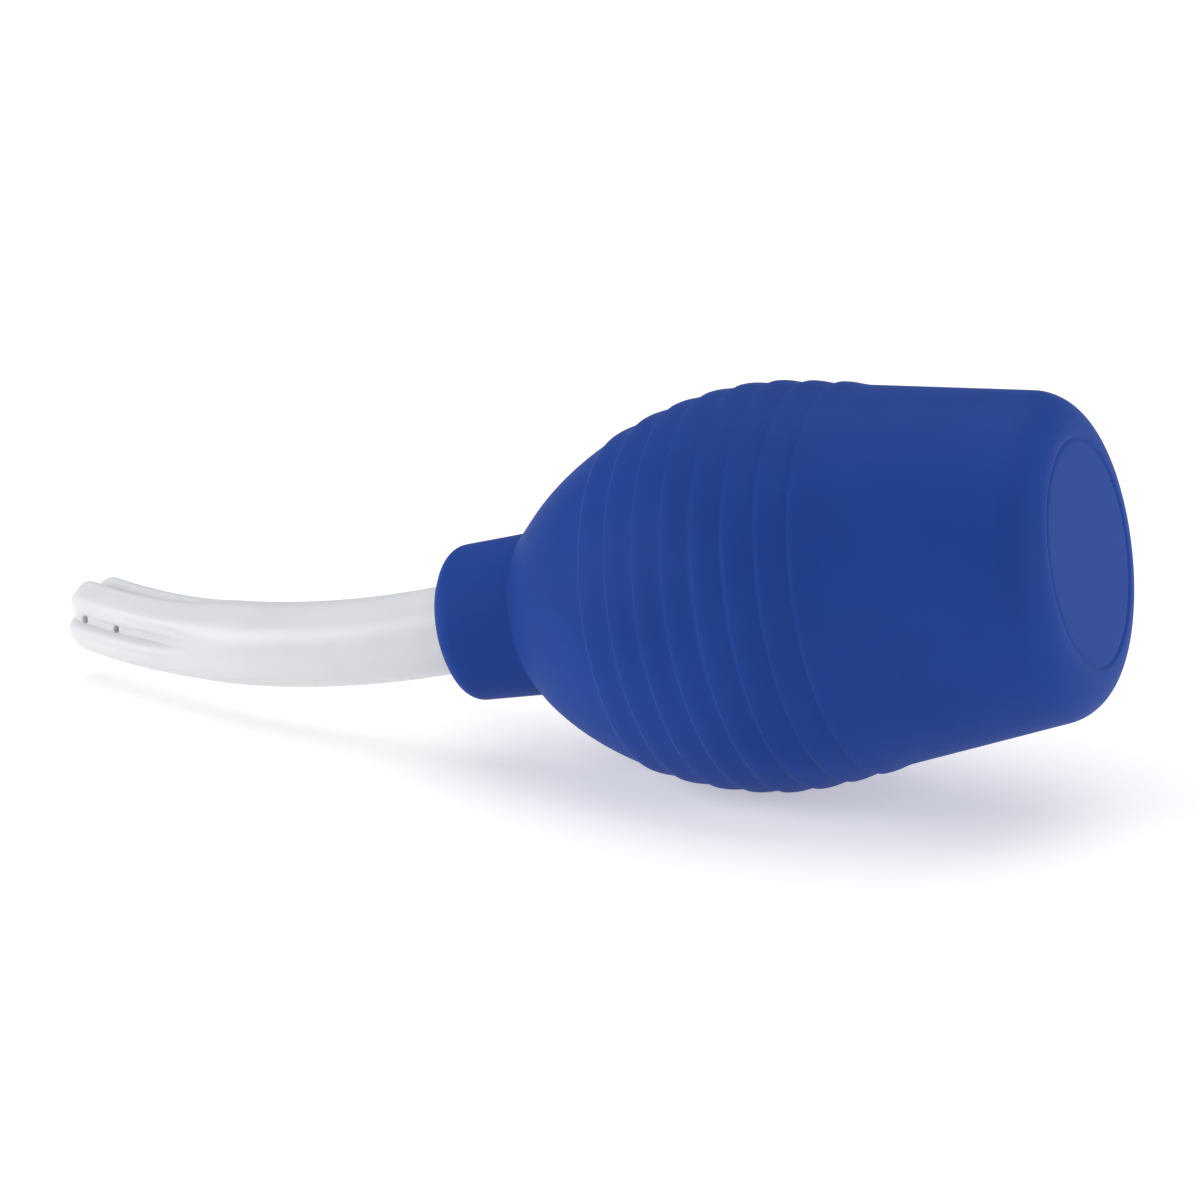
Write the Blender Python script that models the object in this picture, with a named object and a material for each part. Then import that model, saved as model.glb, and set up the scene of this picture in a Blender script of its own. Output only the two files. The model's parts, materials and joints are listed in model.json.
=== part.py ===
"""A soft squeeze bulb with a curved, fluted nozzle, lying on its side as it rests on a table.

The design frame has its X axis along the bulb: +X towards the closed end, -X towards the nozzle,
with the origin on the axis 4 mm behind the girth.  One empty tips that frame to the resting pose and
sets it down on z = 0.  Lengths in the functions are millimetres, turned into metres by MM.
"""

import math

import bmesh
import bpy
from mathutils import Matrix, Vector

MM = 0.001
GAP = 0.3  # between touching pieces

# Bulb outline, along the axis from the mouth to the closed end.
MOUTH_X = -63.8
NECK_MOUTH_R = 13.6
NECK_ROOT_R = 14.1
LIP_R = 3.3  # rounding of the outer edge of the mouth
BORE_R = 10.3
BORE_END_X = -47.6
GIRTH_X = -4.0
GIRTH_R = 34.8
SHOULDER_LENGTH = 50.0  # shoulder: GIRTH_R * (1 - (d / length) ** power) ** root
SHOULDER_POWER = 1.8
SHOULDER_ROOT = 0.54
CONE_X = 4.0
CONE_SLOPE = 0.141
BASE_X = 52.3
BASE_FILLET = 8.16
DISC_RECESS = 0.5
DISC_LEDGE = 0.6
WALL = 2.8
BASE_WALL = 3.4

# Grip ribs: low bands with a steep side towards the mouth.
RIB_COUNT = 8
RIB_FIRST_X = -29.6
RIB_PITCH = 5.75
RIB_HEIGHT = 0.45
RIB_RISE = 0.9
RIB_CROWN_END = 1.5
RIB_FALL_END = 5.2

# The soft neck sags a little under the nozzle, and its bore follows the plug further than its outside does.
NECK_DROOP_DEG = 1.5
BORE_DROOP_DEG = 3.5
DROOP_START_X = -45.5
DROOP_END_X = -49.5
NECK_PIVOT_X = -48.0

# Squeeze walls: the two sides that the hand presses in.
PAD_X = 4.0
PAD_HALF_LENGTH = 31.0
PAD_HALF_HEIGHT = 21.0

# Plug in the neck, along the neck axis: u = 0 at the mouth, positive outwards.
PLUG_FRONT = -0.6
PLUG_LENGTH = 13.4
PLUG_R = 10.0
PLUG_BARREL_R = 9.2
PLUG_CHANNEL_R = 2.5
SPIGOT_R = 4.2
SPIGOT_END = 7.6
BARB_COUNT = 3
BARB_PITCH = 3.7

# Nozzle, along its own centreline from the mouth.
NOZZLE_BASE = -0.3
NOZZLE_LENGTH = 81.8
NOZZLE_BASE_R = 7.75
NOZZLE_TIP_R = 7.0
STRAIGHT_LENGTH = 4.0
BEND_R = 137.0
BEND_ROLL_DEG = 60.4  # how far the nozzle is turned from bending straight up, towards +Y
TIP_ROUND = 3.5
SOCKET_R = 4.5
SOCKET_END = 8.0
CHANNEL_R = 2.6
CHANNEL_END_WALL = 1.8
FLUTES = 4
FLUTE_PHASE_DEG = 49.6  # from the inside of the bend towards the nozzle frame's -Y
FLUTE_DEPTH = 1.4
FLUTE_FLOOR = 1.1  # half-width of a flute's flat bottom
FLUTE_EDGE = 2.4  # half-width at the surface
FLUTE_LENGTH = 30.0
FLUTE_FULL = 12.0
HOLE_R = 0.8
HOLE_FROM_TIP = (4.6, 12.5)

# Resting pose.
REST_TILT_DEG = 12.4

BULB_STEPS = 40
NOZZLE_STEPS = 32
PLUG_STEPS = 24


def smooth_step(t):
    t = min(1.0, max(0.0, t))
    return t * t * (3.0 - 2.0 * t)


def span(start, end, count):
    return [start + (end - start) * i / (count - 1) for i in range(count)]


def material(name, colour, roughness, alpha=1.0):
    made = bpy.data.materials.new(name)
    made.use_nodes = True
    shader = made.node_tree.nodes["Principled BSDF"]
    shader.inputs["Base Color"].default_value = (*colour, 1.0)
    shader.inputs["Roughness"].default_value = roughness
    shader.inputs["Metallic"].default_value = 0.0
    shader.inputs["Alpha"].default_value = alpha
    return made


def link(name, mesh, parent, finish):
    obj = bpy.data.objects.new(name, mesh)
    bpy.context.scene.collection.objects.link(obj)
    obj.parent = parent
    mesh.materials.append(finish)
    mesh.shade_smooth()
    mesh.set_sharp_from_angle(angle=math.radians(35))
    return obj


def empty(name, parent=None):
    obj = bpy.data.objects.new(name, None)
    bpy.context.scene.collection.objects.link(obj)
    obj.parent = parent
    return obj


def turned_mesh(name, outline, steps):
    """Revolves a closed outline of (x, radius) about X.  Radius 0 makes one point on the axis."""
    mesh = bpy.data.meshes.new(name)
    shape = bmesh.new()
    rings = []
    for x, radius in outline:
        if radius < 1e-6:
            rings.append([shape.verts.new((x * MM, 0.0, 0.0))] * steps)
            continue
        ring = []
        for i in range(steps):
            turn = math.tau * i / steps
            ring.append(shape.verts.new((x * MM, radius * math.sin(turn) * MM, radius * math.cos(turn) * MM)))
        rings.append(ring)
    for a, b in zip(rings, rings[1:] + rings[:1]):
        for i in range(steps):
            j = (i + 1) % steps
            corners = list(dict.fromkeys((a[i], b[i], b[j], a[j])))
            if len(corners) > 2:
                shape.faces.new(corners)
    bmesh.ops.recalc_face_normals(shape, faces=shape.faces)
    shape.to_mesh(mesh)
    shape.free()
    return mesh


def body_radius(x):
    """Outer radius of the bulb without its ribs, from the neck's root to the base fillet."""
    if x <= GIRTH_X:
        reach = (GIRTH_X - x) / SHOULDER_LENGTH
        return GIRTH_R * (1.0 - reach**SHOULDER_POWER) ** SHOULDER_ROOT
    run = CONE_X - GIRTH_X
    if x < CONE_X:
        return GIRTH_R - CONE_SLOPE * (x - GIRTH_X) ** 2 / (2.0 * run)
    return GIRTH_R - CONE_SLOPE * (run / 2.0 + x - CONE_X)


def shoulder_start(radius):
    """Where the shoulder has this radius."""
    share = 1.0 - (radius / GIRTH_R) ** (1.0 / SHOULDER_ROOT)
    return GIRTH_X - SHOULDER_LENGTH * share ** (1.0 / SHOULDER_POWER)


def fillet_arc(count):
    """The rounded edge between the cone and the base, as (x, radius, normal angle)."""
    lean = math.atan(CONE_SLOPE)
    centre_x = BASE_X - BASE_FILLET
    centre_r = body_radius(centre_x) - BASE_FILLET / math.cos(lean)
    return centre_x, centre_r, span(lean, math.pi / 2.0, count)


def rib_points():
    """The four corners of each rib as (x, height above the body)."""
    points = []
    for i in range(RIB_COUNT):
        start = RIB_FIRST_X + RIB_PITCH * i
        points += [(start, 0.0), (start + RIB_RISE, RIB_HEIGHT)]
        points += [(start + RIB_CROWN_END, RIB_HEIGHT), (start + RIB_FALL_END, 0.0)]
    return points


def outer_outline():
    root_x = shoulder_start(NECK_ROOT_R)
    lip = [
        (MOUTH_X + LIP_R * (1.0 - math.sin(a)), NECK_MOUTH_R - LIP_R * (1.0 - math.cos(a)))
        for a in span(math.radians(75.0), 0.0, 5)
    ]
    shoulder = [(x, body_radius(x)) for x in span(root_x, RIB_FIRST_X - 2.5, 7)]
    ribs = [(x, body_radius(x) + height) for x, height in rib_points()]
    centre_x, centre_r, angles = fillet_arc(6)
    base = [
        (centre_x + BASE_FILLET * math.sin(a), centre_r + BASE_FILLET * math.cos(a)) for a in angles
    ]
    disc_r = centre_r - DISC_LEDGE
    disc = [(BASE_X - DISC_RECESS, disc_r), (BASE_X - DISC_RECESS, 0.0)]
    return lip + shoulder + ribs + base + disc


def inner_outline():
    """Inside surface, from the centre of the base back to the mouth."""
    def offset(x):
        step = 0.01
        slope = (body_radius(x + step) - body_radius(x - step)) / (2.0 * step)
        length = math.hypot(1.0, slope)
        return x + WALL * slope / length, body_radius(x) - WALL / length

    centre_x, centre_r, angles = fillet_arc(4)
    inner_r = BASE_FILLET - BASE_WALL
    base = [(centre_x + inner_r, 0.0)]
    base += [
        (centre_x + inner_r * math.sin(a), centre_r + (BASE_FILLET - WALL) * math.cos(a))
        for a in reversed(angles)
    ]
    body = [offset(x) for x in span(centre_x - 6.0, -38.0, 9)]
    neck = [(BORE_END_X, BORE_R), (DROOP_END_X, BORE_R), (MOUTH_X + 1.2, BORE_R)]
    mouth = [(MOUTH_X + 0.3, BORE_R + 0.5)]
    return base + body + neck + mouth


def droop(mesh):
    """Bends the neck down about a crosswise line at its root."""
    pivot = Vector((NECK_PIVOT_X * MM, 0.0, 0.0))
    for vertex in mesh.vertices:
        share = smooth_step((DROOP_START_X * MM - vertex.co.x) / ((DROOP_START_X - DROOP_END_X) * MM))
        in_bore = vertex.co.yz.length < (BORE_R + 1.0) * MM
        lean = math.radians(BORE_DROOP_DEG if in_bore else NECK_DROOP_DEG) * share
        vertex.co = Matrix.Rotation(-lean, 3, "Y") @ (vertex.co - pivot) + pivot


def pad_prism(name, parent, margin, side):
    """An oval prism along Y on one side of the bulb, which marks out a squeeze wall."""
    steps = 40
    mesh = bpy.data.meshes.new(name)
    shape = bmesh.new()
    near, far = 8.0 * side, 40.0 * side
    rings = []
    for y in (near, far):
        ring = []
        for i in range(steps):
            turn = math.tau * i / steps
            x = PAD_X + (PAD_HALF_LENGTH + margin) * math.cos(turn)
            z = (PAD_HALF_HEIGHT + margin) * math.sin(turn)
            ring.append(shape.verts.new((x * MM, y * MM, z * MM)))
        rings.append(ring)
        shape.faces.new(ring)
    for i in range(steps):
        j = (i + 1) % steps
        shape.faces.new((rings[0][i], rings[0][j], rings[1][j], rings[1][i]))
    bmesh.ops.recalc_face_normals(shape, faces=shape.faces)
    shape.to_mesh(mesh)
    shape.free()
    cutter = bpy.data.objects.new(name, mesh)
    bpy.context.scene.collection.objects.link(cutter)
    cutter.parent = parent
    cutter.hide_render = True
    cutter.display_type = "WIRE"
    return cutter


def cut(obj, cutter, operation="DIFFERENCE"):
    modifier = obj.modifiers.new(cutter.name, "BOOLEAN")
    modifier.operation = operation
    modifier.object = cutter


def make_bulb(frame, silicone):
    """The moulded bulb as three nodes: its shell, and the two side walls that move when squeezed."""
    mesh = turned_mesh("bulb_shell", outer_outline() + inner_outline(), BULB_STEPS)
    droop(mesh)
    shell = link("bulb_shell", mesh, frame, silicone)
    for side, name in ((-1, "squeeze_wall_near"), (1, "squeeze_wall_far")):
        wall = link(name, mesh.copy(), frame, silicone)
        cut(wall, pad_prism(name + "_keep", frame, 0.0, side), "INTERSECT")
        cut(shell, pad_prism(name + "_window", frame, GAP, side))


def make_plug(neck, plastic):
    """The barbed connector that sits in the neck and carries the nozzle on its spigot."""
    back = PLUG_FRONT - PLUG_LENGTH
    outline = [(SPIGOT_END, PLUG_CHANNEL_R), (SPIGOT_END, SPIGOT_R - 0.5), (SPIGOT_END - 0.8, SPIGOT_R)]
    outline += [(PLUG_FRONT, SPIGOT_R), (PLUG_FRONT, PLUG_R - 0.4), (PLUG_FRONT - 0.4, PLUG_R)]
    outline += [(PLUG_FRONT - 1.6, PLUG_R), (PLUG_FRONT - 1.8, PLUG_BARREL_R)]
    for i in range(BARB_COUNT):
        edge = PLUG_FRONT - 2.4 - BARB_PITCH * i
        outline += [(edge, PLUG_BARREL_R), (edge - 0.2, PLUG_R), (edge - 2.8, PLUG_BARREL_R)]
    outline += [(back, PLUG_BARREL_R - 0.6), (back, PLUG_CHANNEL_R + 1.2), (back + 1.2, PLUG_CHANNEL_R)]
    mesh = turned_mesh("nozzle_plug", [(-u, r) for u, r in outline], PLUG_STEPS)
    link("nozzle_plug", mesh, neck, plastic)


def nozzle_frame(u):
    """Centre of the nozzle and its direction at distance u along the centreline, in its bending plane."""
    if u <= STRAIGHT_LENGTH:
        return Vector((-u, 0.0, 0.0)), 0.0
    angle = (u - STRAIGHT_LENGTH) / BEND_R
    x = -STRAIGHT_LENGTH - BEND_R * math.sin(angle)
    return Vector((x, 0.0, BEND_R * (1.0 - math.cos(angle)))), angle


def nozzle_point(u, radius, turn):
    """A point beside the centreline: turn 0 is the inside of the bend, and it grows towards -Y."""
    centre, angle = nozzle_frame(u)
    inward = Vector((math.sin(angle), 0.0, math.cos(angle)))
    return centre + radius * (math.cos(turn) * inward + math.sin(turn) * Vector((0.0, -1.0, 0.0)))


def nozzle_radius(u, turn):
    """Outer radius with the taper, the flutes and the rounded tip."""
    share = (u - NOZZLE_BASE) / (NOZZLE_LENGTH - NOZZLE_BASE)
    radius = NOZZLE_BASE_R + (NOZZLE_TIP_R - NOZZLE_BASE_R) * share
    fade = smooth_step((u - NOZZLE_LENGTH + FLUTE_LENGTH) / (FLUTE_LENGTH - FLUTE_FULL))
    spacing = math.tau / FLUTES
    aside = abs((turn - math.radians(FLUTE_PHASE_DEG) + spacing / 2.0) % spacing - spacing / 2.0) * radius
    radius -= FLUTE_DEPTH * fade * (1.0 - smooth_step((aside - FLUTE_FLOOR) / (FLUTE_EDGE - FLUTE_FLOOR)))
    past = u - (NOZZLE_LENGTH - TIP_ROUND)
    if past > 0.0:
        radius -= TIP_ROUND - math.sqrt(max(0.0, TIP_ROUND**2 - past**2))
    return radius


def make_nozzle(turned, soft_plastic):
    mesh = bpy.data.meshes.new("nozzle_tube")
    shape = bmesh.new()
    outside = [(u, None) for u in span(NOZZLE_BASE, NOZZLE_LENGTH - FLUTE_LENGTH, 9)[:-1]]
    outside += [(u, None) for u in span(NOZZLE_LENGTH - FLUTE_LENGTH, NOZZLE_LENGTH - TIP_ROUND, 11)]
    outside += [(NOZZLE_LENGTH - TIP_ROUND * (1.0 - math.sin(a)), None) for a in span(0.45, 1.5, 4)]
    channel_end = NOZZLE_LENGTH - CHANNEL_END_WALL
    inside = [(channel_end, CHANNEL_R * 0.6)]
    inside += [(u, CHANNEL_R) for u in span(channel_end - 0.8, SOCKET_END, 14)]
    inside += [(SOCKET_END, SOCKET_R), (NOZZLE_BASE, SOCKET_R)]
    rings = []
    for u, radius in outside + inside:
        ring = []
        for i in range(NOZZLE_STEPS):
            turn = math.tau * i / NOZZLE_STEPS + math.radians(FLUTE_PHASE_DEG)
            reach = nozzle_radius(u, turn) if radius is None else radius
            if radius == SOCKET_R:  # the socket is straight, like the spigot in it
                point = Vector((-u, -reach * math.sin(turn), reach * math.cos(turn)))
            else:
                point = nozzle_point(u, reach, turn)
            ring.append(shape.verts.new(point * MM))
        rings.append(ring)
    tip = len(outside) - 1
    for k, (a, b) in enumerate(zip(rings, rings[1:] + rings[:1])):
        if k == tip:
            shape.faces.new(a)
            shape.faces.new(b)
            continue
        for i in range(NOZZLE_STEPS):
            j = (i + 1) % NOZZLE_STEPS
            shape.faces.new((a[i], a[j], b[j], b[i]))
    bmesh.ops.recalc_face_normals(shape, faces=shape.faces)
    shape.to_mesh(mesh)
    shape.free()
    tube = link("nozzle_tube", mesh, turned, soft_plastic)
    cut(tube, hole_cutters(turned))


def hole_cutters(turned):
    """Short round pins at every outlet, two to a flute."""
    mesh = bpy.data.meshes.new("outlet_cutters")
    shape = bmesh.new()
    for from_tip in HOLE_FROM_TIP:
        for i in range(FLUTES):
            turn = math.radians(FLUTE_PHASE_DEG) + math.tau * i / FLUTES
            u = NOZZLE_LENGTH - from_tip
            inner = nozzle_point(u, CHANNEL_R * 0.4, turn)
            outer = nozzle_point(u, NOZZLE_TIP_R + 1.0, turn)
            along = outer - inner
            place = Matrix.Translation((inner + outer) / 2.0 * MM)
            place @= along.to_track_quat("Z", "Y").to_matrix().to_4x4()
            bmesh.ops.create_cone(
                shape, cap_ends=True, segments=8, radius1=HOLE_R * MM, radius2=HOLE_R * MM,
                depth=along.length * MM, matrix=place,
            )
    shape.to_mesh(mesh)
    shape.free()
    cutter = bpy.data.objects.new("outlet_cutters", mesh)
    bpy.context.scene.collection.objects.link(cutter)
    cutter.parent = turned
    cutter.hide_render = True
    cutter.display_type = "WIRE"
    return cutter


def shown_bounds():
    """Lowest and highest corner of every shown mesh, as evaluated."""
    graph = bpy.context.evaluated_depsgraph_get()
    points = []
    for obj in bpy.context.scene.objects:
        if obj.type == "MESH" and not obj.hide_render:
            seen = obj.evaluated_get(graph)
            points += [seen.matrix_world @ v.co for v in seen.data.vertices]
    low = Vector([min(p[k] for p in points) for k in range(3)])
    high = Vector([max(p[k] for p in points) for k in range(3)])
    return low, high


def set_down(frame):
    """Moves the assembly so that it stands on z = 0, centred on the origin in X and Y."""
    bpy.context.view_layer.update()
    low, high = shown_bounds()
    frame.location -= Vector(((low.x + high.x) / 2.0, (low.y + high.y) / 2.0, low.z))


def main():
    for obj in list(bpy.data.objects):
        bpy.data.objects.remove(obj)
    silicone = material("blue_silicone", (0.02, 0.06, 0.28), 0.55)
    plastic = material("white_plastic", (0.78, 0.80, 0.82), 0.35)
    soft_plastic = material("milky_plastic", (0.72, 0.75, 0.79), 0.4)

    frame = empty("bulb_frame")
    frame.rotation_euler = (0.0, math.radians(-REST_TILT_DEG), 0.0)
    neck = empty("neck_frame", frame)
    lean = math.radians(-BORE_DROOP_DEG)
    reach = (NECK_PIVOT_X - MOUTH_X) * MM
    neck.location = (NECK_PIVOT_X * MM - reach * math.cos(lean), 0.0, reach * math.sin(lean))
    neck.rotation_euler = (0.0, lean, 0.0)

    make_bulb(frame, silicone)
    make_plug(neck, plastic)
    turned = empty("nozzle_frame", neck)
    turned.rotation_euler = (math.radians(-BEND_ROLL_DEG), 0.0, 0.0)
    make_nozzle(turned, soft_plastic)
    set_down(frame)


main()
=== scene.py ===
import json
import math

import bmesh
import bpy
import numpy as np
from mathutils import Matrix, Vector


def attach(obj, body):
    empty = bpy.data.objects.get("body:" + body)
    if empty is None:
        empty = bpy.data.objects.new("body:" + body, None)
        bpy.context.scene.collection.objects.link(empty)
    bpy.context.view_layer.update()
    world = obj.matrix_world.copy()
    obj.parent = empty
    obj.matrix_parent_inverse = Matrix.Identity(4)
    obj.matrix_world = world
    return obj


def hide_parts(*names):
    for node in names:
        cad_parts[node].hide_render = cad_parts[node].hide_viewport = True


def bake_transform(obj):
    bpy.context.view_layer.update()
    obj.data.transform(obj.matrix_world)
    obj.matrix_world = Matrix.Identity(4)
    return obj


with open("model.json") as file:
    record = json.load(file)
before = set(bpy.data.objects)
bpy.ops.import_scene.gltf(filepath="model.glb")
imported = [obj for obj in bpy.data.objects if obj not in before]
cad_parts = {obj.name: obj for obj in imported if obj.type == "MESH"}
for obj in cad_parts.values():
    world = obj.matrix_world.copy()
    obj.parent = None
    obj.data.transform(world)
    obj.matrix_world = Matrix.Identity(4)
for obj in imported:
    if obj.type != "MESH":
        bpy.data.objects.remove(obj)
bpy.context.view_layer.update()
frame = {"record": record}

# Looks of the squeeze bulb syringe: one soft blue moulding, a fluted milky nozzle and the barbed plug
# between them.
#
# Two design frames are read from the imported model. The bulb frame has +X along the bulb's axis towards
# its base. The neck frame has +X into the neck, and its origin is at the mouth. Lengths are millimetres
# until MM.

MM = 0.001

# Bulb, along its axis from the mouth to the base.
MOUTH_X = -63.8
NECK_MOUTH_R = 13.6
NECK_ROOT_R = 14.1
LIP_R = 3.3
INNER_LIP_R = 0.9
BORE_R = 10.3
BORE_END_X = -47.6
BORE_MARGIN = 1.0
BORE_CORNER_SHIFT = 0.4
BORE_CORNER_R = 0.8
ROOT_FILLET = 0.9
GIRTH_X = -4.0
GIRTH_R = 34.8
SHOULDER_LENGTH = 50.0
SHOULDER_POWER = 1.8
SHOULDER_ROOT = 0.54
CONE_X = 4.0
CONE_SLOPE = 0.141
BASE_X = 52.3
BASE_FILLET = 8.16
DISC_RECESS = 0.5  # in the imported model, whose base mount is the disc
DISC_LEDGE = 0.6
DISC_SINK = 0.08
DISC_FLAT_MARGIN = 1.2
WALL = 2.8
BASE_WALL = 3.4
INNER_START_X = -42.0
INNER_FILLET_MARGIN = 1.0
INNER_BASE_MARGIN = 2.0

# The fine groove round the base disc: (depth below the base, distance past the disc's edge).
DISC_GROOVE = (
    (0.12, -0.8), (0.21, -0.5), (0.3, -0.25), (0.3, -0.05), (0.15, 0.15), (0.03, 0.4), (0.0, DISC_LEDGE),
)

# Grip ribs: low bands, steep towards the mouth and gradual towards the base.
RIB_COUNT = 8
RIB_FIRST_X = -29.6
RIB_PITCH = 5.75
RIB_HEIGHT = 0.45
RIB_RISE = 0.6
RIB_CROWN_END = 1.1
RIB_FALL_END = 5.4

# The neck sags a little under the nozzle, its bore more than its outside.
NECK_DROOP_DEG = 1.5
BORE_DROOP_DEG = 3.5
DROOP_START_X = -45.5
DROOP_END_X = -49.5
NECK_PIVOT_X = -48.0
DROOP_MARGIN = 0.3

# Points along each stretch of the bulb's outline, and the shares at which the straight neck gets them.
DISC_POINTS = 12
FILLET_POINTS = 22
CONE_POINTS = 16
POINTS_PER_RIB = 24
SHOULDER_POINTS = 22
LIP_POINTS = 12
INNER_LIP_POINTS = 7
BORE_POINTS = 12
INNER_BODY_POINTS = 34
INNER_FILLET_POINTS = 10
INNER_BASE_POINTS = 8
NECK_SHARES = (0.3, 0.55, 0.8)
SLOPE_STEP = 0.01
SAME_POINT = 0.02

# Plug, along the neck axis: u = 0 at the mouth, positive outwards.
PLUG_FRONT = -0.6
PLUG_LENGTH = 13.4
PLUG_R = 10.0
PLUG_BARREL_R = 9.2
PLUG_CHANNEL_R = 2.5
PLUG_EDGE_BEVEL = 0.35
PLUG_RIM_END = 1.6
PLUG_BARREL_START = 1.8
PLUG_BACK_BEVEL = 0.6
PLUG_CHANNEL_FLARE = 1.2
PLUG_CORNER_REACH = 0.12
PLUG_CORNER_SHARE = 0.4
PLUG_SHARP_DEG = 50
SPIGOT_R = 4.2
SPIGOT_END = 7.6
SPIGOT_BEVEL_ACROSS = 0.5
SPIGOT_BEVEL_ALONG = 0.8
BARB_COUNT = 3
BARB_PITCH = 3.7
BARB_FIRST = 2.4
BARB_FACE = 0.2
BARB_LENGTH = 2.8

# Nozzle, along its own centreline from the mouth.
NOZZLE_BASE = -0.3
NOZZLE_LENGTH = 81.8
NOZZLE_BASE_R = 7.75
NOZZLE_TIP_R = 7.0
STRAIGHT_LENGTH = 4.0
BEND_R = 137.0
BEND_ROLL_DEG = 60.4
NOZZLE_SHARP_DEG = 45
TIP_ROUND = 3.0
TIP_ANGLES = (0.1, 1.555)
TIP_BULGE = 0.02
SHANK_POINTS = 40
FLUTED_POINTS = 60
TIP_POINTS = 12
SOCKET_R = 4.5
SOCKET_END = 8.0
SOCKET_FLARE = 0.4
SOCKET_FLARE_END = 0.3
CHANNEL_R = 2.6
CHANNEL_END_WALL = 1.8
CHANNEL_END_R = 0.5
CHANNEL_END_SHOULDERS = ((0.0, 0.6), (0.5, 0.92))  # (distance before the end, share of the channel's radius)
CHANNEL_STRAIGHT_FROM = 1.2
CHANNEL_POINTS = 30
FLUTES = 4
FLUTE_PHASE_DEG = 52.0
FLUTE_DEPTH = 1.9
FLUTE_FLOOR = 0.85
FLUTE_EDGE = 4.0
FLUTE_POWER = 2.0
FLUTE_LENGTH = 36.0
FLUTE_FULL = 19.0
HOLE_R = 0.75
HOLE_FROM_TIP = (4.6, 12.5)
HOLE_START_SHARE = 0.4
HOLE_OVERSHOOT = 1.0
HOLE_SEGMENTS = 24

# Viewpoint.
VIEW_AZIMUTH_DEG = 19.87
VIEW_ELEVATION_DEG = 18.0
VIEW_DISTANCE = 1.828
VIEW_WIDTH = 0.205
VIEW_RIGHT = -0.0346
VIEW_UP = -0.0027
SENSOR_MM = 36.0
CLIP_END = 20.0

# Colours.
BLUE_DARK = (0.0130, 0.0480, 0.2520)
BLUE_LIGHT = (0.0160, 0.0550, 0.2800)
BLUE_SPECK = (0.020, 0.075, 0.33)
BLUE_SHEEN = (0.30, 0.55, 1.0, 1.0)
MILKY_DARK = (0.67, 0.685, 0.705)
MILKY_LIGHT = (0.70, 0.715, 0.735)
MILKY_SCATTER = (1.0, 0.95, 0.9)
WHITE_DARK = (0.76, 0.775, 0.79)
WHITE_LIGHT = (0.81, 0.82, 0.83)
FLOOR_DARK = (0.75, 0.75, 0.75)
FLOOR_LIGHT = (0.77, 0.77, 0.77)
FLOOR_GLOW = (1.0, 0.975, 0.965, 1.0)
BACKDROP = (0.99, 0.99, 1.0, 1.0)

# The range that most of a noise's values lie in, and the mix node's colour sockets.
NOISE_LOW = 0.3
NOISE_HIGH = 0.7
MIX_FACTOR, MIX_FIRST, MIX_SECOND = 0, 6, 7
MIX_RESULT = 2

FLOOR_SIZE = 12.0
BACKDROP_STRENGTH = 0.20


def smooth_step(t):
    t = np.clip(t, 0.0, 1.0)
    return t * t * (3.0 - 2.0 * t)


def frames():
    """The bulb frame and the neck frame as matrices in metres, read from the record."""
    record = frame["record"]
    base = record["mounts"][0]
    along = Vector(base["axis"]).normalized()
    origin = Vector(base["pos_m"]) - along * (BASE_X - DISC_RECESS) * MM
    turn = [j for j in record["behaviour"]["joints"] if j["name"] == "nozzle_turn"][0]
    into = -Vector(turn["axis"]).normalized()
    return placed(origin, along), placed(Vector(turn["pos_m"]), into)


def placed(origin, along):
    """A frame with this X axis and with Y across, as a matrix."""
    across = Vector((0.0, 1.0, 0.0))
    up = along.cross(across)
    turn = Matrix((along, across, up)).transposed().to_4x4()
    return Matrix.Translation(origin) @ turn


# Camera

def make_camera(bulb):
    bpy.context.scene.view_settings.view_transform = "Standard"
    azimuth = math.radians(VIEW_AZIMUTH_DEG)
    elevation = math.radians(VIEW_ELEVATION_DEG)
    right = Vector((math.cos(azimuth), math.sin(azimuth), 0.0))
    back = Vector((
        math.sin(azimuth) * math.cos(elevation),
        -math.cos(azimuth) * math.cos(elevation),
        math.sin(elevation),
    ))
    up = back.cross(right)
    camera = bpy.data.objects.new("camera", bpy.data.cameras.new("camera"))
    bpy.context.scene.collection.objects.link(camera)
    camera.data.sensor_width = SENSOR_MM
    camera.data.lens = SENSOR_MM * VIEW_DISTANCE / VIEW_WIDTH
    camera.data.clip_end = CLIP_END
    place = bulb.translation + right * VIEW_RIGHT + up * VIEW_UP + back * VIEW_DISTANCE
    turn = Matrix((right, up, back)).transposed().to_4x4()
    camera.matrix_world = Matrix.Translation(place) @ turn
    bpy.context.scene.camera = camera


# Outlines

def body_radius(x):
    """Outer radius of the bulb without its ribs, from the neck's root to the base fillet."""
    if x <= GIRTH_X:
        reach = min(1.0, (GIRTH_X - x) / SHOULDER_LENGTH)
        return GIRTH_R * (1.0 - reach**SHOULDER_POWER) ** SHOULDER_ROOT
    run = CONE_X - GIRTH_X
    if x < CONE_X:
        return GIRTH_R - CONE_SLOPE * (x - GIRTH_X) ** 2 / (2.0 * run)
    return GIRTH_R - CONE_SLOPE * (run / 2.0 + x - CONE_X)


def shoulder_start(radius):
    """Where the shoulder has this radius."""
    share = 1.0 - (radius / GIRTH_R) ** (1.0 / SHOULDER_ROOT)
    return GIRTH_X - SHOULDER_LENGTH * share ** (1.0 / SHOULDER_POWER)


def rib_height(x):
    """Height of the ribs above the body."""
    place = x - RIB_FIRST_X
    if place < 0.0 or place >= RIB_PITCH * RIB_COUNT:
        return 0.0
    place %= RIB_PITCH
    rise = smooth_step(place / RIB_RISE)
    fall = smooth_step((place - RIB_CROWN_END) / (RIB_FALL_END - RIB_CROWN_END))
    return float(RIB_HEIGHT * rise * (1.0 - fall))


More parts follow.
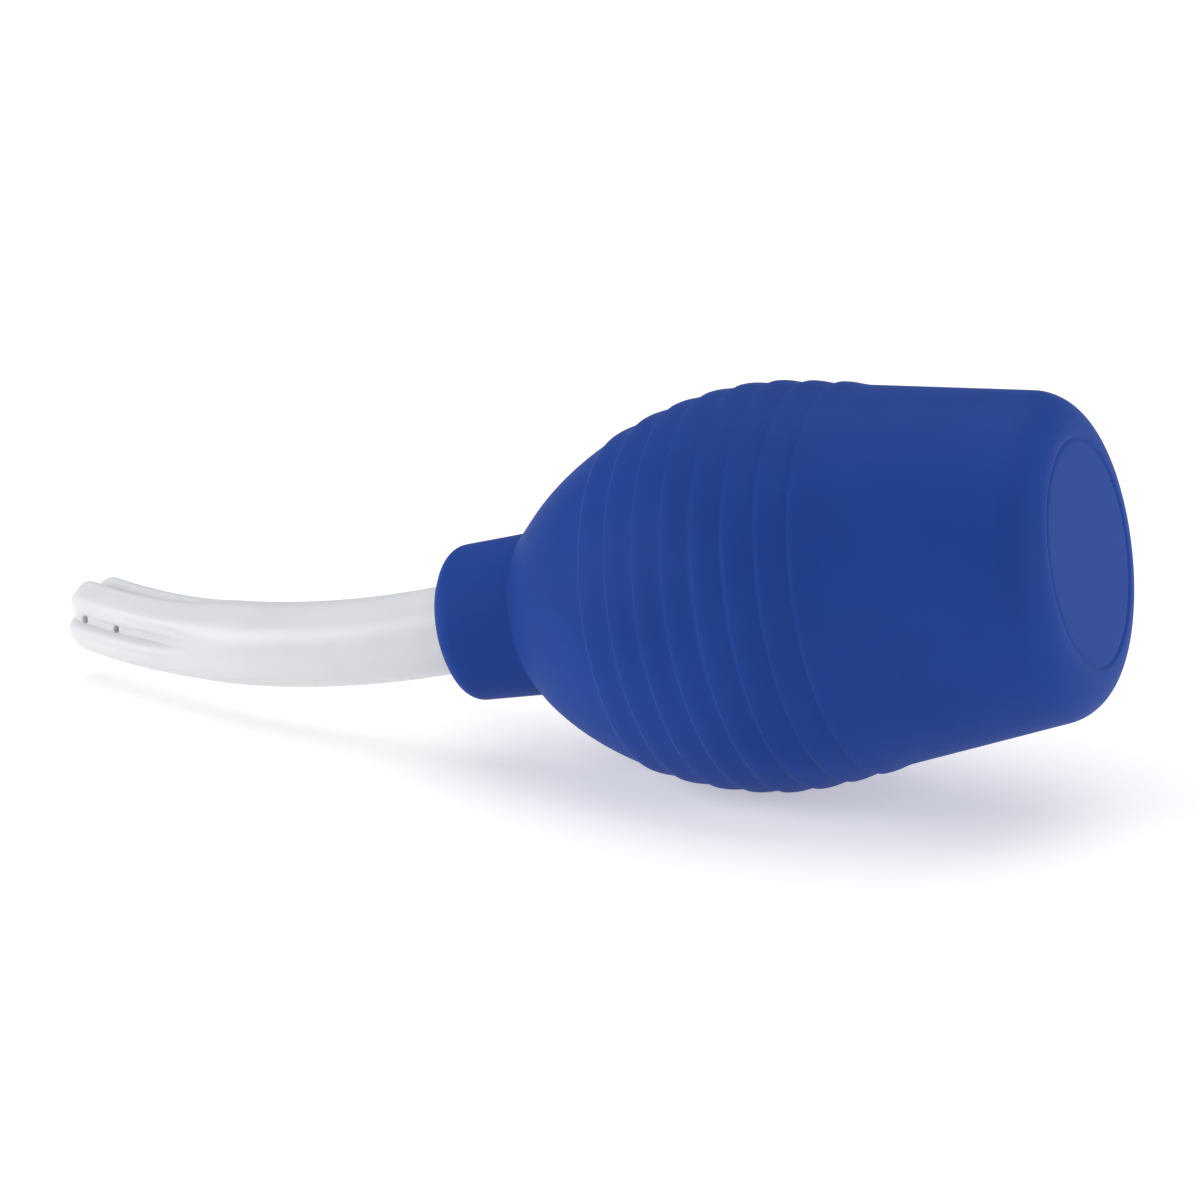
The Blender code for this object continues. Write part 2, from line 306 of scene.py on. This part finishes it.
def rounded(points, corner, radius, steps=5):
    """The rounded corner of the path points[0], corner, points[1], without the two ends."""
    a, c, b = (np.array(p, float) for p in (points[0], corner, points[1]))
    to_a = (a - c) / np.linalg.norm(a - c)
    to_b = (b - c) / np.linalg.norm(b - c)
    half = math.acos(float(np.clip(to_a @ to_b, -1.0, 1.0))) / 2.0
    back = radius / math.tan(half)
    path = []
    for t in np.linspace(0.0, 1.0, steps):
        p = (1 - t) ** 2 * (c + to_a * back) + 2 * t * (1 - t) * c + t**2 * (c + to_b * back)
        path.append(tuple(p))
    return path


def bulb_outline():
    """(x, radius) from the middle of the base, over the outside to the mouth and back inside."""
    lean = math.atan(CONE_SLOPE)
    centre_x = BASE_X - BASE_FILLET
    centre_r = body_radius(centre_x) - BASE_FILLET / math.cos(lean)
    disc_r = centre_r - DISC_LEDGE
    floor_x = BASE_X - DISC_SINK
    path = [(floor_x, r) for r in np.linspace(0.0, disc_r - DISC_FLAT_MARGIN, DISC_POINTS)]
    path += [(BASE_X - depth, disc_r + past) for depth, past in DISC_GROOVE]
    for a in np.linspace(math.pi / 2.0, lean, FILLET_POINTS):
        path.append((centre_x + BASE_FILLET * math.sin(a), centre_r + BASE_FILLET * math.cos(a)))
    ribs_end = RIB_FIRST_X + RIB_PITCH * RIB_COUNT
    cone = [(x, body_radius(x)) for x in np.linspace(centre_x, ribs_end, CONE_POINTS)[1:-1]]
    rib_places = np.linspace(ribs_end, RIB_FIRST_X, POINTS_PER_RIB * RIB_COUNT)
    ribs = [(x, body_radius(x) + rib_height(x)) for x in rib_places]
    root_x = shoulder_start(NECK_ROOT_R)
    shoulder = [(x, body_radius(x)) for x in np.linspace(RIB_FIRST_X, root_x, SHOULDER_POINTS)[1:-1]]
    path += cone + ribs + shoulder
    neck_end = (MOUTH_X + LIP_R, NECK_MOUTH_R)
    path += rounded((shoulder[-1], neck_end), (root_x, NECK_ROOT_R), ROOT_FILLET)
    for t in NECK_SHARES:
        path.append((root_x + (neck_end[0] - root_x) * t, NECK_ROOT_R + (NECK_MOUTH_R - NECK_ROOT_R) * t))
    for a in np.linspace(0.0, math.pi / 2.0, LIP_POINTS):
        path.append((MOUTH_X + LIP_R * (1.0 - math.sin(a)), NECK_MOUTH_R - LIP_R * (1.0 - math.cos(a))))
    lip_in = MOUTH_X + INNER_LIP_R
    for a in np.linspace(0.0, math.pi / 2.0, INNER_LIP_POINTS):
        path.append((lip_in - INNER_LIP_R * math.cos(a), BORE_R + INNER_LIP_R * (1.0 - math.sin(a))))
    bore = np.linspace(lip_in + BORE_MARGIN, BORE_END_X - BORE_MARGIN, BORE_POINTS)
    path += [(x, BORE_R) for x in bore]
    path += inner_body(centre_x, centre_r, lean)
    return clean(path)


def inner_body(centre_x, centre_r, lean):
    """The inside of the bulb from the bore to the middle of the base."""
    def offset(x):
        slope = (body_radius(x + SLOPE_STEP) - body_radius(x - SLOPE_STEP)) / (2.0 * SLOPE_STEP)
        length = math.hypot(1.0, slope)
        return x + WALL * slope / length, body_radius(x) - WALL / length

    ends = ((BORE_END_X - BORE_MARGIN, BORE_R), offset(INNER_START_X))
    path = rounded(ends, (BORE_END_X + BORE_CORNER_SHIFT, BORE_R), BORE_CORNER_R)
    body = np.linspace(INNER_START_X, centre_x - INNER_FILLET_MARGIN, INNER_BODY_POINTS)
    path += [offset(x) for x in body]
    inner_r = BASE_FILLET - BASE_WALL
    for a in np.linspace(lean, math.pi / 2.0, INNER_FILLET_POINTS):
        path.append((centre_x + inner_r * math.sin(a), centre_r + (BASE_FILLET - WALL) * math.cos(a)))
    base = np.linspace(centre_r - INNER_BASE_MARGIN, 0.0, INNER_BASE_POINTS)
    path += [(centre_x + inner_r, r) for r in base]
    return path


def clean(path):
    """Leaves out points that all but repeat the one before."""
    kept = [path[0]]
    for p in path[1:]:
        if math.dist(p, kept[-1]) > SAME_POINT:
            kept.append(p)
    return kept


# Meshes

def new_piece(name, vertices, faces, normals=None):
    mesh = bpy.data.meshes.new(name)
    mesh.from_pydata([tuple(v) for v in vertices], [], faces)
    mesh.shade_smooth()
    if normals is not None:
        mesh.normals_split_custom_set_from_vertices([tuple(n) for n in normals])
    piece = bpy.data.objects.new(name, mesh)
    bpy.context.scene.collection.objects.link(piece)
    return piece


def droop(points):
    """Bends the neck down about a crosswise line at its root, its bore further than its outside."""
    share = smooth_step((DROOP_START_X - points[..., 0]) / (DROOP_START_X - DROOP_END_X))
    radius = np.hypot(points[..., 1], points[..., 2])
    outside = smooth_step((radius - BORE_R - DROOP_MARGIN) / (NECK_MOUTH_R - BORE_R - 2.0 * DROOP_MARGIN))
    lean = np.radians(BORE_DROOP_DEG + (NECK_DROOP_DEG - BORE_DROOP_DEG) * outside) * share
    x = points[..., 0] - NECK_PIVOT_X
    z = points[..., 2]
    bent = points.copy()
    bent[..., 0] = NECK_PIVOT_X + x * np.cos(lean) - z * np.sin(lean)
    bent[..., 2] = x * np.sin(lean) + z * np.cos(lean)
    return bent


def grid_normals(points):
    """Unit normals of a grid of points, from its neighbours."""
    along = np.gradient(points, axis=0)
    around = np.gradient(points, axis=1)
    normals = np.cross(around, along)
    length = np.linalg.norm(normals, axis=-1, keepdims=True)
    return normals / np.maximum(length, 1e-12)


def half_bulb(name, side, bulb, steps=96):
    """One side of the bulb, outside and inside, as one skin. side is -1 towards the viewer and 1 away."""
    outline = np.array(bulb_outline())
    spare = 2
    turns = np.pi * np.arange(-spare, steps + spare + 1) / steps
    x = np.repeat(outline[:, :1], len(turns), axis=1)
    radius = outline[:, 1:]
    points = droop(np.stack([x, side * radius * np.sin(turns), radius * np.cos(turns)], axis=-1))
    normals = grid_normals(points) * side
    points = points[:, spare:-spare]
    normals = normals[:, spare:-spare]
    rows, columns = points.shape[:2]
    flat = points[1:-1].reshape(-1, 3)
    shown = normals[1:-1].reshape(-1, 3)
    faces = []
    for i in range(rows - 3):
        here, following = i * columns, (i + 1) * columns
        for j in range(columns - 1):
            faces.append((here + j, here + j + 1, following + j + 1, following + j))
    last = (rows - 3) * columns
    for j in range(columns - 1):
        faces.append((len(flat), j + 1, j))
        faces.append((last + j, last + j + 1, len(flat) + 1))
    flat = np.vstack([flat, points[:1, 0], points[-1:, 0]])
    shown = np.vstack([shown, [(1.0, 0.0, 0.0), (-1.0, 0.0, 0.0)]])
    if side < 0:
        faces = [face[::-1] for face in faces]
    turn = np.array(bulb.to_3x3())
    return new_piece(name, flat @ turn.T * MM + np.array(bulb.translation), faces, shown @ turn.T)


def turned_piece(name, outline, place, steps=96):
    """A piece turned about X from a closed outline of (x, radius)."""
    shape = bmesh.new()
    turns = [math.tau * i / steps for i in range(steps)]
    rings = []
    for x, radius in outline:
        points = [(x * MM, radius * math.sin(t) * MM, radius * math.cos(t) * MM) for t in turns]
        rings.append([shape.verts.new(point) for point in points])
    for a, b in zip(rings, rings[1:] + rings[:1]):
        for i in range(steps):
            j = (i + 1) % steps
            shape.faces.new((a[i], b[i], b[j], a[j]))
    bmesh.ops.recalc_face_normals(shape, faces=shape.faces)
    bmesh.ops.transform(shape, matrix=place, verts=shape.verts)
    mesh = bpy.data.meshes.new(name)
    shape.to_mesh(mesh)
    shape.free()
    mesh.shade_smooth()
    mesh.set_sharp_from_angle(angle=math.radians(PLUG_SHARP_DEG))
    piece = bpy.data.objects.new(name, mesh)
    bpy.context.scene.collection.objects.link(piece)
    return piece


def plug_outline():
    """The barbed plug with every corner softened."""
    back = PLUG_FRONT - PLUG_LENGTH
    corners = [
        (SPIGOT_END, PLUG_CHANNEL_R),
        (SPIGOT_END, SPIGOT_R - SPIGOT_BEVEL_ACROSS),
        (SPIGOT_END - SPIGOT_BEVEL_ALONG, SPIGOT_R),
        (PLUG_FRONT, SPIGOT_R),
        (PLUG_FRONT, PLUG_R - PLUG_EDGE_BEVEL),
        (PLUG_FRONT - PLUG_EDGE_BEVEL, PLUG_R),
        (PLUG_FRONT - PLUG_RIM_END, PLUG_R),
        (PLUG_FRONT - PLUG_BARREL_START, PLUG_BARREL_R),
    ]
    for i in range(BARB_COUNT):
        edge = PLUG_FRONT - BARB_FIRST - BARB_PITCH * i
        corners += [(edge, PLUG_BARREL_R), (edge - BARB_FACE, PLUG_R), (edge - BARB_LENGTH, PLUG_BARREL_R)]
    corners += [
        (back, PLUG_BARREL_R - PLUG_BACK_BEVEL),
        (back, PLUG_CHANNEL_R + PLUG_CHANNEL_FLARE),
        (back + PLUG_CHANNEL_FLARE, PLUG_CHANNEL_R),
    ]
    outline = []
    for i, corner in enumerate(corners):
        before = np.array(corners[i - 1])
        after = np.array(corners[(i + 1) % len(corners)])
        here = np.array(corner)
        gap_before = np.linalg.norm(before - here)
        gap_after = np.linalg.norm(after - here)
        reach = min(PLUG_CORNER_REACH, PLUG_CORNER_SHARE * gap_before, PLUG_CORNER_SHARE * gap_after)
        into = here + (before - here) / gap_before * reach
        out = here + (after - here) / gap_after * reach
        outline += [tuple(into), tuple((into + 2 * here + out) / 4.0), tuple(out)]
    return [(-u, r) for u, r in outline]


def nozzle_centre(u):
    """Centre of the nozzle at u, and the direction from it to the inside of the bend."""
    if u <= STRAIGHT_LENGTH:
        return Vector((-u, 0.0, 0.0)), Vector((0.0, 0.0, 1.0))
    angle = (u - STRAIGHT_LENGTH) / BEND_R
    x = -STRAIGHT_LENGTH - BEND_R * math.sin(angle)
    centre = Vector((x, 0.0, BEND_R * (1.0 - math.cos(angle))))
    return centre, Vector((math.sin(angle), 0.0, math.cos(angle)))


def nozzle_point(u, radius, turn):
    """The point this far from the centreline at u, turned from the inside of the bend."""
    centre, inward = nozzle_centre(u)
    return centre + radius * (math.cos(turn) * inward + math.sin(turn) * Vector((0.0, -1.0, 0.0)))


def nozzle_radius(u, turn):
    """Outer radius with the taper, the flutes and the rounded tip."""
    share = (u - NOZZLE_BASE) / (NOZZLE_LENGTH - NOZZLE_BASE)
    radius = NOZZLE_BASE_R + (NOZZLE_TIP_R - NOZZLE_BASE_R) * share
    fade = smooth_step((u - NOZZLE_LENGTH + FLUTE_LENGTH) / (FLUTE_LENGTH - FLUTE_FULL))
    spacing = math.tau / FLUTES
    from_flute = (turn - math.radians(FLUTE_PHASE_DEG) + spacing / 2.0) % spacing - spacing / 2.0
    aside = abs(from_flute) * radius
    flank = 1.0 - min(1.0, max(0.0, aside - FLUTE_FLOOR) / (FLUTE_EDGE - FLUTE_FLOOR))
    radius -= FLUTE_DEPTH * fade * flank**FLUTE_POWER
    past = u - (NOZZLE_LENGTH - TIP_ROUND)
    if past > 0.0:
        radius -= TIP_ROUND - math.sqrt(max(0.0, TIP_ROUND**2 - past**2))
    return float(radius)


def make_nozzle(neck, steps=160):
    """The nozzle as one closed skin with its socket and channel, then its outlets cut through."""
    flutes_start = NOZZLE_LENGTH - FLUTE_LENGTH
    outside = list(np.linspace(NOZZLE_BASE, flutes_start, SHANK_POINTS)[:-1])
    outside += list(np.linspace(flutes_start, NOZZLE_LENGTH - TIP_ROUND, FLUTED_POINTS))
    for a in np.linspace(*TIP_ANGLES, TIP_POINTS):
        outside.append(NOZZLE_LENGTH - TIP_ROUND * (1.0 - math.sin(a)))
    channel_end = NOZZLE_LENGTH - CHANNEL_END_WALL
    inside = [(channel_end, CHANNEL_END_R)]
    inside += [(channel_end - before, CHANNEL_R * share) for before, share in CHANNEL_END_SHOULDERS]
    channel = np.linspace(channel_end - CHANNEL_STRAIGHT_FROM, SOCKET_END, CHANNEL_POINTS)
    inside += [(u, CHANNEL_R) for u in channel]
    inside += [(SOCKET_END, SOCKET_R), (SOCKET_FLARE_END, SOCKET_R), (NOZZLE_BASE, SOCKET_R + SOCKET_FLARE)]
    shape = bmesh.new()
    rings = []
    for u, radius in [(u, None) for u in outside] + inside:
        ring = []
        for i in range(steps):
            turn = math.tau * i / steps + math.radians(FLUTE_PHASE_DEG)
            if radius is None:
                point = nozzle_point(u, nozzle_radius(u, turn), turn)
            elif radius >= SOCKET_R:  # the socket is straight, to fit the plug's spigot
                point = Vector((-u, -radius * math.sin(turn), radius * math.cos(turn)))
            else:
                point = nozzle_point(u, radius, turn)
            ring.append(shape.verts.new(point * MM))
        rings.append(ring)
    tip = len(outside) - 1
    for k, (a, b) in enumerate(zip(rings, rings[1:] + rings[:1])):
        if k == tip:
            fan(shape, a, nozzle_point(NOZZLE_LENGTH + TIP_BULGE, 0.0, 0.0))
            fan(shape, b, nozzle_point(channel_end, 0.0, 0.0))
            continue
        for i in range(steps):
            j = (i + 1) % steps
            shape.faces.new((a[i], a[j], b[j], b[i]))
    bmesh.ops.recalc_face_normals(shape, faces=shape.faces)
    mesh = bpy.data.meshes.new("curved_nozzle")
    shape.to_mesh(mesh)
    shape.free()
    piece = bpy.data.objects.new("curved_nozzle", mesh)
    bpy.context.scene.collection.objects.link(piece)
    cut_outlets(piece)
    piece.data.transform(neck @ Matrix.Rotation(math.radians(-BEND_ROLL_DEG), 4, "X"))
    piece.data.shade_smooth()
    piece.data.set_sharp_from_angle(angle=math.radians(NOZZLE_SHARP_DEG))
    return piece


def fan(shape, ring, centre):
    """Closes a ring with triangles to a point."""
    middle = shape.verts.new(centre * MM)
    for i, vertex in enumerate(ring):
        shape.faces.new((vertex, ring[(i + 1) % len(ring)], middle))


def cut_outlets(piece):
    """Drills the outlets, two to a flute, from outside into the channel."""
    mesh = bpy.data.meshes.new("outlet_cutters")
    shape = bmesh.new()
    for from_tip in HOLE_FROM_TIP:
        for i in range(FLUTES):
            turn = math.radians(FLUTE_PHASE_DEG) + math.tau * i / FLUTES
            u = NOZZLE_LENGTH - from_tip
            inner = nozzle_point(u, CHANNEL_R * HOLE_START_SHARE, turn)
            outer = nozzle_point(u, NOZZLE_TIP_R + HOLE_OVERSHOOT, turn)
            along = outer - inner
            place = Matrix.Translation((inner + outer) / 2.0 * MM)
            place @= along.to_track_quat("Z", "Y").to_matrix().to_4x4()
            bmesh.ops.create_cone(
                shape,
                cap_ends=True,
                segments=HOLE_SEGMENTS,
                radius1=HOLE_R * MM,
                radius2=HOLE_R * MM,
                depth=along.length * MM,
                matrix=place,
            )
    shape.to_mesh(mesh)
    shape.free()
    cutter = bpy.data.objects.new("outlet_cutters", mesh)
    bpy.context.scene.collection.objects.link(cutter)
    modifier = piece.modifiers.new("outlets", "BOOLEAN")
    modifier.operation = "DIFFERENCE"
    modifier.object = cutter
    graph = bpy.context.evaluated_depsgraph_get()
    drilled = bpy.data.meshes.new_from_object(piece.evaluated_get(graph))
    piece.modifiers.clear()
    piece.data = drilled
    bpy.data.objects.remove(cutter)


# Materials

class Nodes:
    """A material's node tree, with short ways to add and join nodes."""

    def __init__(self, name):
        self.material = bpy.data.materials.new(name)
        self.material.use_nodes = True
        self.tree = self.material.node_tree
        self.shader = self.tree.nodes["Principled BSDF"]
        self.place = self.tree.nodes.new("ShaderNodeTexCoord").outputs["Object"]

    def set(self, **values):
        for key, value in values.items():
            self.shader.inputs[key.replace("_", " ")].default_value = value

    def noise(self, size, detail=2.0, roughness=0.5):
        """A noise from 0 to 1 whose features are about this many metres across."""
        node = self.tree.nodes.new("ShaderNodeTexNoise")
        node.inputs["Scale"].default_value = 1.0 / size
        node.inputs["Detail"].default_value = detail
        node.inputs["Roughness"].default_value = roughness
        self.tree.links.new(self.place, node.inputs["Vector"])
        return node.outputs["Fac"]

    def spread(self, value, low=NOISE_LOW, high=NOISE_HIGH, to_low=0.0, to_high=1.0):
        node = self.tree.nodes.new("ShaderNodeMapRange")
        limits = (("From Min", low), ("From Max", high), ("To Min", to_low), ("To Max", to_high))
        for socket, number in limits:
            node.inputs[socket].default_value = number
        self.tree.links.new(value, node.inputs["Value"])
        return node.outputs["Result"]

    def mix(self, factor, first, second):
        """A colour between first and second, which are colours or sockets."""
        node = self.tree.nodes.new("ShaderNodeMix")
        node.data_type = "RGBA"
        self.tree.links.new(factor, node.inputs[MIX_FACTOR])
        for socket, colour in ((node.inputs[MIX_FIRST], first), (node.inputs[MIX_SECOND], second)):
            if isinstance(colour, tuple):
                socket.default_value = (*colour, 1.0)
            else:
                self.tree.links.new(colour, socket)
        return node.outputs[MIX_RESULT]

    def bump(self, height, distance, strength=1.0, under=None):
        node = self.tree.nodes.new("ShaderNodeBump")
        node.inputs["Distance"].default_value = distance
        node.inputs["Strength"].default_value = strength
        self.tree.links.new(height, node.inputs["Height"])
        if under is not None:
            self.tree.links.new(under, node.inputs["Normal"])
        return node.outputs["Normal"]

    def join(self, value, socket):
        self.tree.links.new(value, self.shader.inputs[socket])


def blue_silicone():
    """Matt moulded silicone: deep blue, faintly mottled, with the fine satin grain of a blasted mould."""
    made = Nodes("blue_silicone")
    mottle = made.spread(made.noise(size=0.022, detail=3.0))
    colour = made.mix(mottle, BLUE_DARK, BLUE_LIGHT)
    specks = made.spread(made.noise(size=0.0006, detail=1.0), low=0.72, high=0.80, to_high=0.35)
    made.join(made.mix(specks, colour, BLUE_SPECK), "Base Color")
    grain = made.noise(size=0.00035)
    made.join(made.spread(grain, to_low=0.50, to_high=0.60), "Roughness")
    fine = made.bump(grain, distance=0.00003, strength=0.5)
    waves = made.bump(made.noise(size=0.009), distance=0.00012, strength=0.25, under=fine)
    made.join(waves, "Normal")
    made.set(Sheen_Weight=0.02, Sheen_Roughness=0.4, Sheen_Tint=BLUE_SHEEN, Specular_IOR_Level=0.05)
    return made.material


def milky_plastic():
    """Soft translucent plastic, milky white and faintly blue."""
    made = Nodes("milky_plastic")
    cloud = made.spread(made.noise(size=0.012))
    made.join(made.mix(cloud, MILKY_DARK, MILKY_LIGHT), "Base Color")
    grain = made.noise(size=0.0005)
    made.join(made.spread(grain, to_low=0.33, to_high=0.43), "Roughness")
    fine = made.bump(grain, distance=0.00002, strength=0.35)
    waves = made.bump(made.noise(size=0.006), distance=0.00008, strength=0.25, under=fine)
    made.join(waves, "Normal")
    made.set(Subsurface_Weight=0.55, Subsurface_Radius=MILKY_SCATTER, Subsurface_Scale=0.004)
    made.set(Specular_IOR_Level=0.45)
    return made.material


def white_plastic():
    """Hard white plastic, satin from the mould."""
    made = Nodes("white_plastic")
    cloud = made.spread(made.noise(size=0.015))
    made.join(made.mix(cloud, WHITE_DARK, WHITE_LIGHT), "Base Color")
    grain = made.noise(size=0.0004)
    made.join(made.spread(grain, to_low=0.24, to_high=0.34), "Roughness")
    made.join(made.bump(grain, distance=0.000015, strength=0.3), "Normal")
    made.set(Specular_IOR_Level=0.5)
    return made.material


# Studio

def make_floor():
    bpy.ops.mesh.primitive_plane_add(size=FLOOR_SIZE)
    floor = bpy.context.object
    floor.name = "floor"
    made = Nodes("floor_white")
    tone = made.spread(made.noise(size=0.4, detail=1.0))
    made.join(made.mix(tone, FLOOR_DARK, FLOOR_LIGHT), "Base Color")
    made.set(Roughness=0.9, Specular_IOR_Level=0.1, Emission_Strength=0.44, Emission_Color=FLOOR_GLOW)
    floor.data.materials.append(made.material)


def area_light(name, place, aim, width, height, power):
    light = bpy.data.lights.new(name, "AREA")
    light.shape = "RECTANGLE"
    light.size = width
    light.size_y = height
    light.energy = power
    lamp = bpy.data.objects.new(name, light)
    bpy.context.scene.collection.objects.link(lamp)
    turn = (Vector(aim) - Vector(place)).to_track_quat("-Z", "Y").to_matrix().to_4x4()
    lamp.matrix_world = Matrix.Translation(place) @ turn


def make_lights():
    world = bpy.data.worlds.new("studio")
    bpy.context.scene.world = world
    world.use_nodes = True
    backdrop = world.node_tree.nodes["Background"]
    backdrop.inputs["Color"].default_value = BACKDROP
    backdrop.inputs["Strength"].default_value = BACKDROP_STRENGTH
    area_light("overhead", place=(0.0, 0.45, 1.5), aim=(0.0, 0.0, 0.0), width=2.2, height=2.0, power=20.0)
    area_light("left_box", place=(-2.5, -1.5, 1.1), aim=(-0.03, 0.0, 0.04), width=1.6, height=1.6, power=56.0)
    area_light("right_box", place=(1.6, -0.1, 0.5), aim=(0.0, 0.0, 0.04), width=0.8, height=0.8, power=11.0)


def finish_piece(piece, material):
    piece.data.materials.clear()
    piece.data.materials.append(material)


def main():
    bulb, neck = frames()
    make_camera(bulb)
    make_lights()
    make_floor()

    silicone = blue_silicone()
    for side, name, body, wall in (
        (-1, "bulb_near_half", "near_wall", "squeeze_wall_near"),
        (1, "bulb_far_half", "far_wall", "squeeze_wall_far"),
    ):
        half = half_bulb(name, side, bulb)
        finish_piece(half, silicone)
        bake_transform(half)
        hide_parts("bulb_shell", wall)

    plug = turned_piece("barbed_plug", plug_outline(), neck)
    finish_piece(plug, white_plastic())
    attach(plug, "plug")
    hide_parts("nozzle_plug")

    nozzle = make_nozzle(neck)
    finish_piece(nozzle, milky_plastic())
    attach(nozzle, "nozzle")
    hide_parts("nozzle_tube")


main()
